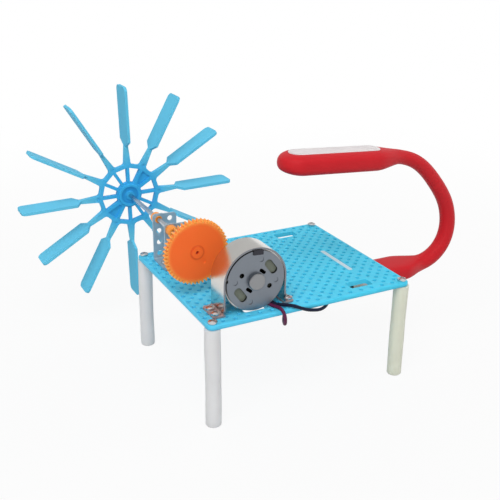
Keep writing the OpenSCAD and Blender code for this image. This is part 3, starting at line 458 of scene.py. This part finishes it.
def smoothByAngle(bm, angle):
    for f in bm.faces:
        f.smooth = True
    for e in bm.edges:
        e.smooth = len(e.link_faces) == 2 and e.calc_face_angle() < radians(angle)


# Rigid pieces keep their solid and get small rounded edges.
edgeSpec = {
    "water_wheel": (0.18, 40), "drive_gear": (0.06, 40), "motor_end_plate": (0.12, 40),
    "motor_can": (0.15, 40), "motor_strap": (0.12, 40), "shaft_bracket": (0.12, 40),
    "front_bush": (0.12, 40), "rear_bush": (0.12, 40), "usb_socket": (0.12, 40), "plug_shell": (0.1, 40),
    "leg_screws": (0.08, 40), "strap_screws": (0.08, 40), "bracket_screw": (0.08, 40), "usb_board": (0.08, 40),
    "board_chip": (0.12, 40), "board_coil": (0.15, 40), "motor_pinion": (0.04, 40), "wire_terminals": (0.2, 40),
}


def settle(obj, name):
    even = obj.modifiers.new("evenNormals", "WEIGHTED_NORMAL")
    even.keep_sharp = True
    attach(obj, bodyOf[name])
    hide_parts(name)


# The wheel's two closed windows are pockets in its front, in millimetres from its axis.
windowSpec = {"angles": (46, 226), "inner": 6.2, "outer": 12.2, "slope": 0.268, "narrow": 0.8, "face": 1.1, "deep": 1.0,
    "corner": 0.35}


def windowPlug(angle):
    s = windowSpec
    low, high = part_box("water_wheel")
    face = (low[1] + high[1]) / 2 - s["face"] * mm
    bm = bmesh.new()
    bmesh.ops.create_cube(bm, size=2.0)
    for v in bm.verts:
        far = s["outer"] if v.co.x > 0 else s["inner"]
        half = (s["slope"] * far - s["narrow"]) * v.co.z
        v.co = (far * mm, face + (s["deep"] if v.co.y > 0 else -1) * mm, half * mm)
    upright = [e for e in bm.edges if abs(e.verts[0].co.y - e.verts[1].co.y) > mm]
    bmesh.ops.bevel(bm, geom=upright, offset=s["corner"] * mm, offset_type="OFFSET", segments=3, profile=0.5,
                    affect="EDGES", clamp_overlap=True, material=-1)
    bmesh.ops.rotate(bm, verts=bm.verts, matrix=Matrix.Rotation(-radians(angle), 3, "Y"))
    bmesh.ops.translate(bm, verts=bm.verts, vec=(wheelAxis[0], 0, wheelAxis[1]))
    return bm


def cutAway(bm, plugs):
    body = meshObject("cutBody", bm)
    tools = [meshObject("cutPlug", plug) for plug in plugs]
    for tool in tools:
        cut = body.modifiers.new("cut", "BOOLEAN")
        cut.operation = "DIFFERENCE"
        cut.solver = "EXACT"
        cut.object = tool
    made = bmesh.new()
    made.from_object(body, bpy.context.evaluated_depsgraph_get())
    for obj in [body] + tools:
        bpy.data.meshes.remove(obj.data)
    return made


def roundedEdges(name, width, angle):
    bm = bmesh.new()
    bm.from_mesh(nodes[name].data)
    bmesh.ops.remove_doubles(bm, verts=bm.verts, dist=1e-6)
    if name == "water_wheel":
        bm = cutAway(bm, [windowPlug(a) for a in windowSpec["angles"]])
        bmesh.ops.remove_doubles(bm, verts=bm.verts, dist=1e-6)
    bmesh.ops.dissolve_limit(bm, angle_limit=radians(0.6), verts=bm.verts, edges=bm.edges)
    sharp = [e for e in bm.edges if len(e.link_faces) == 2 and e.calc_face_angle() > radians(angle)]
    bmesh.ops.bevel(bm, geom=sharp, offset=width * mm, offset_type="OFFSET", segments=2, profile=0.5,
                    affect="EDGES", clamp_overlap=True, material=-1)
    bmesh.ops.dissolve_degenerate(bm, dist=2e-6, edges=bm.edges)
    bmesh.ops.remove_doubles(bm, verts=bm.verts, dist=2e-6)
    bmesh.ops.recalc_face_normals(bm, faces=bm.faces)
    smoothByAngle(bm, 45)
    settle(addPiece(name + "_body", bm, name), name)


# The plate: its top face drawn in a little, then walked down over rounded rims to its underside.
rimSpec = {"hole": 0.15, "outer": 0.6, "steps": 2}


def plateBody():
    low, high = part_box("base_plate")
    bm = bmesh.new()
    bm.from_mesh(nodes["base_plate"].data)
    bmesh.ops.remove_doubles(bm, verts=bm.verts, dist=1e-6)
    bmesh.ops.delete(bm, geom=[f for f in bm.faces if f.normal.z < 0.9], context="FACES")
    spot = bm.verts.layers.float_vector.new("spot")
    side = bm.verts.layers.float_vector.new("side")
    edges = [e for e in bm.edges if e.is_boundary]
    for e in edges:
        inward = e.link_faces[0].calc_center_median() - e.verts[0].co
        along = e.verts[1].co - e.verts[0].co
        out = Vector((along.y, -along.x, 0)).normalized()
        for v in e.verts:
            v[side] = v[side] + (out if out.dot(inward) < 0 else -out)
    rims = {v for e in edges for v in e.verts}
    outer = set()
    todo = [min(rims, key=lambda v: v.co.x)]
    while todo:
        v = todo.pop()
        if v not in outer:
            outer.add(v)
            todo += [e.other_vert(v) for e in v.link_edges if e.is_boundary]
    for v in rims:
        wide = rimSpec["outer" if v in outer else "hole"] * mm
        v[spot] = v.co
        v[side] = v[side].normalized() * wide
        v.co = v[spot] - v[side]
    twin = bmesh.ops.duplicate(bm, geom=bm.faces[:])["geom"]
    for v in (g for g in twin if isinstance(g, bmesh.types.BMVert)):
        v.co.z = low[2]
    turns = [pi / 2 * k / rimSpec["steps"] for k in range(rimSpec["steps"] + 1)]
    walk = [(a, high[2], -1) for a in turns[1:]] + [(a, low[2], 1) for a in turns[::-1]]
    for a, level, way in walk:
        grown = bmesh.ops.extrude_edge_only(bm, edges=edges)["geom"]
        for v in (g for g in grown if isinstance(g, bmesh.types.BMVert)):
            v.co = v[spot] - v[side] * (1 - sin(a))
            v.co.z = level + way * v[side].length * (1 - cos(a))
        edges = [g for g in grown if isinstance(g, bmesh.types.BMEdge) and g.is_boundary]
    bmesh.ops.remove_doubles(bm, verts=bm.verts, dist=1e-6)
    bmesh.ops.recalc_face_normals(bm, faces=bm.faces)
    smoothByAngle(bm, 50)
    print("plate faces:", len(bm.faces))
    settle(addPiece("base_plate_body", bm, "base_plate"), "base_plate")


plateBody()
for name, (width, angle) in edgeSpec.items():
    roundedEdges(name, width, angle)
print("edges rounded:", len(edgeSpec))


# Legs: cast sticks that waver a little, with rounded feet.
legSpec = {"levels": 24, "sides": 40, "foot": 0.7, "footSteps": 4, "waver": 0.12, "swell": 0.012, "phase": {
    "leg_front_left": 0.4, "leg_front_right": 2.1, "leg_back_left": 3.5, "leg_back_right": 5.0}}


def legStick(name, phase):
    s = legSpec
    low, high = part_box(name)
    r = (high[0] - low[0]) / 2
    tall = high[2] - low[2]
    foot = s["foot"] * mm
    turns = [pi / 2 * k / s["footSteps"] for k in range(s["footSteps"])]
    rings = [(foot * (1 - cos(a)), foot * (1 - sin(a))) for a in turns]  # each ring: height, how far drawn in
    rings += [(mix(foot, tall, k / s["levels"]), 0.0) for k in range(s["levels"] + 1)]
    bm = bmesh.new()
    bmesh.ops.create_circle(bm, cap_ends=True, segments=s["sides"], radius=1.0)
    loop, edges = list(bm.verts), list(bm.edges)
    home = Vector(((low[0] + high[0]) / 2, (low[1] + high[1]) / 2))
    middle = Vector((0, 0))
    for i, (up, cut) in enumerate(rings):
        if i:
            grown = bmesh.ops.extrude_edge_only(bm, edges=edges)["geom"]
            loop = [g for g in grown if isinstance(g, bmesh.types.BMVert)]
            edges = [g for g in grown if isinstance(g, bmesh.types.BMEdge) and g.is_boundary]
        wave = 2 * pi * up / tall
        wide = r * (1 - s["swell"] + s["swell"] * sin(wave * 1.6 + 2 * phase)) - s["waver"] * mm - cut
        swayed = home + Vector((s["waver"] * mm * sin(wave * 0.7 + phase), 0))
        for v in loop:
            out = swayed + (v.co.xy - middle).normalized() * wide
            v.co = (out.x, out.y, low[2] + up)
        middle = swayed
    bmesh.ops.contextual_create(bm, geom=edges)
    bmesh.ops.recalc_face_normals(bm, faces=bm.faces)
    smoothByAngle(bm, 50)
    stick = addPiece(name + "_stick", bm, name)
    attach(stick, bodyOf[name])
    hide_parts(name)


for name, phase in legSpec["phase"].items():
    legStick(name, phase)
print("legs made")


# The two leads in millimetres: X from the hole grid's middle, Y from the plate's front edge, Z from its top.
plateLow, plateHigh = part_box("base_plate")
leadOrigin = Vector(((plateLow[0] + plateHigh[0]) / 2 + 1 * mm, plateLow[1], plateHigh[2]))
leadSpec = {"diameter": 1.3, "sides": 4}
blackRoute = [(-18.25, 6.2, 3.5), (-18.09, 6.2, 3.25), (-17.6, 6.2, 2.4), (-16.8, 5.8, 1.4), (-15.9, 4.9, 0.8),
    (-14.8, 3.9, 0.8), (-13.2, 2.6, 0.8), (-11.7, 1, 1), (-10.2, -0.4, 0.8), (-8.2, -1.1, 0), (-5.5, -1.2, -1.2),
    (-2.5, -1, -2.1), (0.4, -0.4, -2.8), (3, 0.9, -3.2), (5.6, 3.1, -3.7), (8.2, 6.2, -4.5), (10.8, 10.1, -5.5),
    (13, 14, -6.5), (14.8, 17.9, -7.3), (16.3, 20.4, -7.7), (18.2, 21.4, -7.85), (19, 21.4, -7.85)]
redRoute = [(-19.52, 6.2, 2.71), (-19.36, 6.2, 2.45), (-18.8, 6, 1.7), (-17.8, 5, 0.8), (-16.8, 2.8, 0.8),
    (-16.2, 0.4, 0.9), (-16, -1.4, 0.2), (-15.8, -2.4, -1.4), (-15.5, -2.2, -3.2), (-15.1, -1.4, -4.7),
    (-14.5, 0, -5.7), (-13.7, 1.8, -6.2), (-12.6, 4, -6.4), (-11, 6.7, -6.5), (-9, 9.9, -6.7), (-6.4, 13.4, -7),
    (-3, 16.6, -7.4), (1, 19.5, -7.7), (5.5, 22.1, -7.9), (10, 24.4, -8), (14.4, 26.3, -7.9), (18.2, 27, -7.85),
    (19, 27, -7.85)]


def addLead(name, route, like):
    points = [leadOrigin + Vector(p) * mm for p in route]
    data = bpy.data.curves.new(name, "CURVE")
    data.dimensions = "3D"
    data.bevel_depth = leadSpec["diameter"] * mm / 2
    data.bevel_resolution = leadSpec["sides"]
    data.resolution_u = 6
    data.use_fill_caps = True
    line = data.splines.new("BEZIER")
    line.bezier_points.add(len(points) - 1)
    for knot, p in zip(line.bezier_points, points):
        knot.co = p
        knot.handle_left_type = knot.handle_right_type = "AUTO"
    obj = bpy.data.objects.new(name, data)
    bpy.context.collection.objects.link(obj)
    wear(obj, slotOf[like])
    bpy.context.view_layer.update()
    length = line.calc_length()
    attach(obj, bodyOf[like])
    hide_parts(like)
    print(name, "length mm", round(length * 1000, 1))


addLead("blackLeadSleeve", blackRoute, "black_lead")
addLead("redLeadSleeve", redRoute, "red_lead")


# Soft lamp: base, neck and head lofted through ovals, in millimetres.
baseLow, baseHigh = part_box("lamp_base")
lampSpec = {"baseForm": (15.6, 6.9, 4.0), "neckLow": (7.2, 7.2, 2.0), "neckHigh": (5.8, 5.8, 2.0),
    "headForm": (15.6, 8.6, 3.2),  # each form: width, thickness, how square
    "baseLong": 22.4, "baseFlat": 0.5, "baseLead": 3.0, "headLong": 55.0, "taper": 14.0, "headLead": 4.0, "nose": 8.0,
    "bends": [(15, 90), (28, 40), (0, 12), (24, 46)], "soften": (4.5, 9.0), "neckSteps": 72, "sides": 48,
    "rim": [(0, 0.9), (0.12, 0.4), (0.5, 0), (2, 0)],  # how far along, how much smaller
    "taperSteps": 16, "noseSteps": (0, 0.15, 0.3, 0.45, 0.6, 0.72, 0.82, 0.9, 0.955, 0.985, 0.998),
    "blend": (15, 8, 28)}  # out from the base, up, and how tall
lensSpec = {"start": 9.5, "long": 41.5, "wide": 8.4, "top": 4.36, "deep": 1.2, "edge": 0.25}
lampY = (baseLow[1] + baseHigh[1]) / 2
plugZ = (baseLow[2] + baseHigh[2]) / 2


def bow(v, power):
    return (1 if v >= 0 else -1) * abs(v) ** (2 / power)


def swell(a, b, k):
    e = ease(min(max(k, 0.0), 1.0))
    return [mix(p, q, e) for p, q in zip(a, b)]


def addOval(bm, spot, turn, wide, thick, power):
    made = bmesh.ops.create_circle(bm, segments=lampSpec["sides"], radius=1.0)["verts"]
    for v in made:
        n = thick * mm / 2 * bow(v.co.y, power)
        side = wide * mm / 2 * bow(v.co.x, power)
        v.co = (spot[0] - n * sin(turn), lampY + side, spot[1] + n * cos(turn))
    return made


def loft(name, rings, like):
    bm = bmesh.new()
    loops = []
    for ring in rings:
        made = addOval(bm, *ring)
        loops.append(list({e for v in made for e in v.link_edges}))
    for a, b in zip(loops, loops[1:]):
        bmesh.ops.bridge_loops(bm, edges=a + b)
    for ends in (loops[0], loops[-1]):
        bmesh.ops.contextual_create(bm, geom=ends)
    bmesh.ops.recalc_face_normals(bm, faces=bm.faces)
    smoothByAngle(bm, 50)
    obj = addPiece(name, bm, like)
    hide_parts(like)
    return obj


# A bend of the neck is a radius and an angle, or no radius and a length.
def bendLong(r, amount):
    return radians(amount) * r if r else amount


neckLong = sum(bendLong(*bend) for bend in lampSpec["bends"])


def neckTurn(far):
    turn = 0.0
    for r, amount in lampSpec["bends"]:
        long = bendLong(r, amount)
        if far <= long:
            return turn + (far / r if r else 0.0)
        far -= long
        turn += radians(amount) if r else 0.0
    return turn


def neckLine():
    s = lampSpec
    step = neckLong / s["neckSteps"]

    def walk(soften):
        x, z, line = baseHigh[0], plugZ, []
        for i in range(s["neckSteps"] + 1):
            wide = mix(*soften, i / s["neckSteps"])
            spread = [min(max(step * i + wide * k / 6, 0), neckLong) for k in range(-6, 7)]
            turn = sum(neckTurn(far) for far in spread) / len(spread)
            line.append([x, z, turn])
            ahead = sum(neckTurn(min(far + step / 2, neckLong)) for far in spread) / len(spread)
            x, z = x + step * mm * cos(ahead), z + step * mm * sin(ahead)
        return line

    soft, plain = walk(s["soften"]), walk((0, 0))
    dx, dz = plain[-1][0] - soft[-1][0], plain[-1][1] - soft[-1][1]
    for i, spot in enumerate(soft):  # the softened line still ends where the head starts
        k = ease(i / s["neckSteps"])
        spot[0] += dx * k
        spot[1] += dz * k
    soft[0][2] = 0.0
    soft[-1][2] = plain[-1][2]
    return soft


def lampBase():
    s = lampSpec
    wide, thick, power = s["baseForm"]
    flat = s["baseLong"] * s["baseFlat"]
    rest = s["baseLong"] - flat
    rings = [((baseLow[0] + far * mm, plugZ), 0, wide - cut, thick - cut, power)
             for far, cut in s["rim"]]
    for k in range(s["taperSteps"] + 1):
        far = rest * k / s["taperSteps"]
        form = swell(s["baseForm"], s["neckLow"], far / (rest + s["baseLead"]))
        rings.append(((baseLow[0] + (flat + far) * mm, plugZ), 0, *form))
    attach(loft("lampBaseSkin", rings, "lamp_base"), "lamp")


def lampNeck(line):
    s = lampSpec
    rest = s["baseLong"] * (1 - s["baseFlat"])
    last = len(line) - 1
    rings = []
    for i, (x, z, turn) in enumerate(line):
        far = neckLong * i / last
        form = [mix(a, b, i / last) for a, b in zip(s["neckLow"], s["neckHigh"])]
        form = swell(s["baseForm"], form, (rest + far) / (rest + s["baseLead"]))
        form = swell(form, s["headForm"], (far - neckLong + s["headLead"]) / (s["taper"] + s["headLead"]))
        rings.append(((x, z), turn, *form))
    neck = loft("lampNeckSkin", rings, "lamp_neck")
    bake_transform(neck)


def lampHead(root):
    s = lampSpec
    x, z, turn = root
    wide, thick, power = s["headForm"]
    steps = []
    for k in range(s["taperSteps"] + 1):
        far = s["taper"] * k / s["taperSteps"]
        steps.append((far, *swell(s["neckHigh"], s["headForm"], (far + s["headLead"]) / (s["taper"] + s["headLead"]))))
    for k in s["noseSteps"]:
        far = s["headLong"] - s["nose"] * (1 - k)
        steps.append((far, wide * (1 - k * k) ** 0.5, thick * (1 - k * k) ** 0.34, mix(power, 2, k)))
    rings = [((x + far * mm * cos(turn), z + far * mm * sin(turn)), turn, *form) for far, *form in steps]
    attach(loft("lampHeadSkin", rings, "lamp_head"), "lamp_top")


def lampLens(root):
    s = lensSpec
    x, z, turn = root
    r = s["wide"] / 2
    bm = bmesh.new()
    ring = bmesh.ops.create_circle(bm, cap_ends=True, segments=64, radius=r * mm)["verts"]
    reach = (s["long"] / 2 - r) * mm
    for v in ring:
        v.co.x += reach if v.co.x > 0 else -reach
    grown = bmesh.ops.extrude_face_region(bm, geom=bm.faces[:])["geom"]
    top = [g for g in grown if isinstance(g, bmesh.types.BMVert)]
    bmesh.ops.translate(bm, verts=top, vec=(0, 0, s["deep"] * mm))
    rim = [e for e in bm.edges if all(v in top for v in e.verts)]
    bmesh.ops.bevel(bm, geom=rim, offset=s["edge"] * mm, offset_type="OFFSET", segments=3, profile=0.5,
                    affect="EDGES", clamp_overlap=True, material=-1)
    middle = (s["start"] + s["long"] / 2) * mm
    for v in bm.verts:
        far = middle - v.co.x
        up = (s["top"] - s["deep"]) * mm + v.co.z
        v.co = (x + far * cos(turn) + up * sin(turn), lampY + v.co.y, z + far * sin(turn) - up * cos(turn))
    bmesh.ops.recalc_face_normals(bm, faces=bm.faces)
    smoothByAngle(bm, 40)
    lens = addPiece("lampLensFace", bm, "lamp_lens")
    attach(lens, "lamp_top")
    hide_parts("lamp_lens")


line = neckLine()
lampBase()
lampNeck(line)
lampHead(line[-1])
lampLens(line[-1])
print("lamp made")
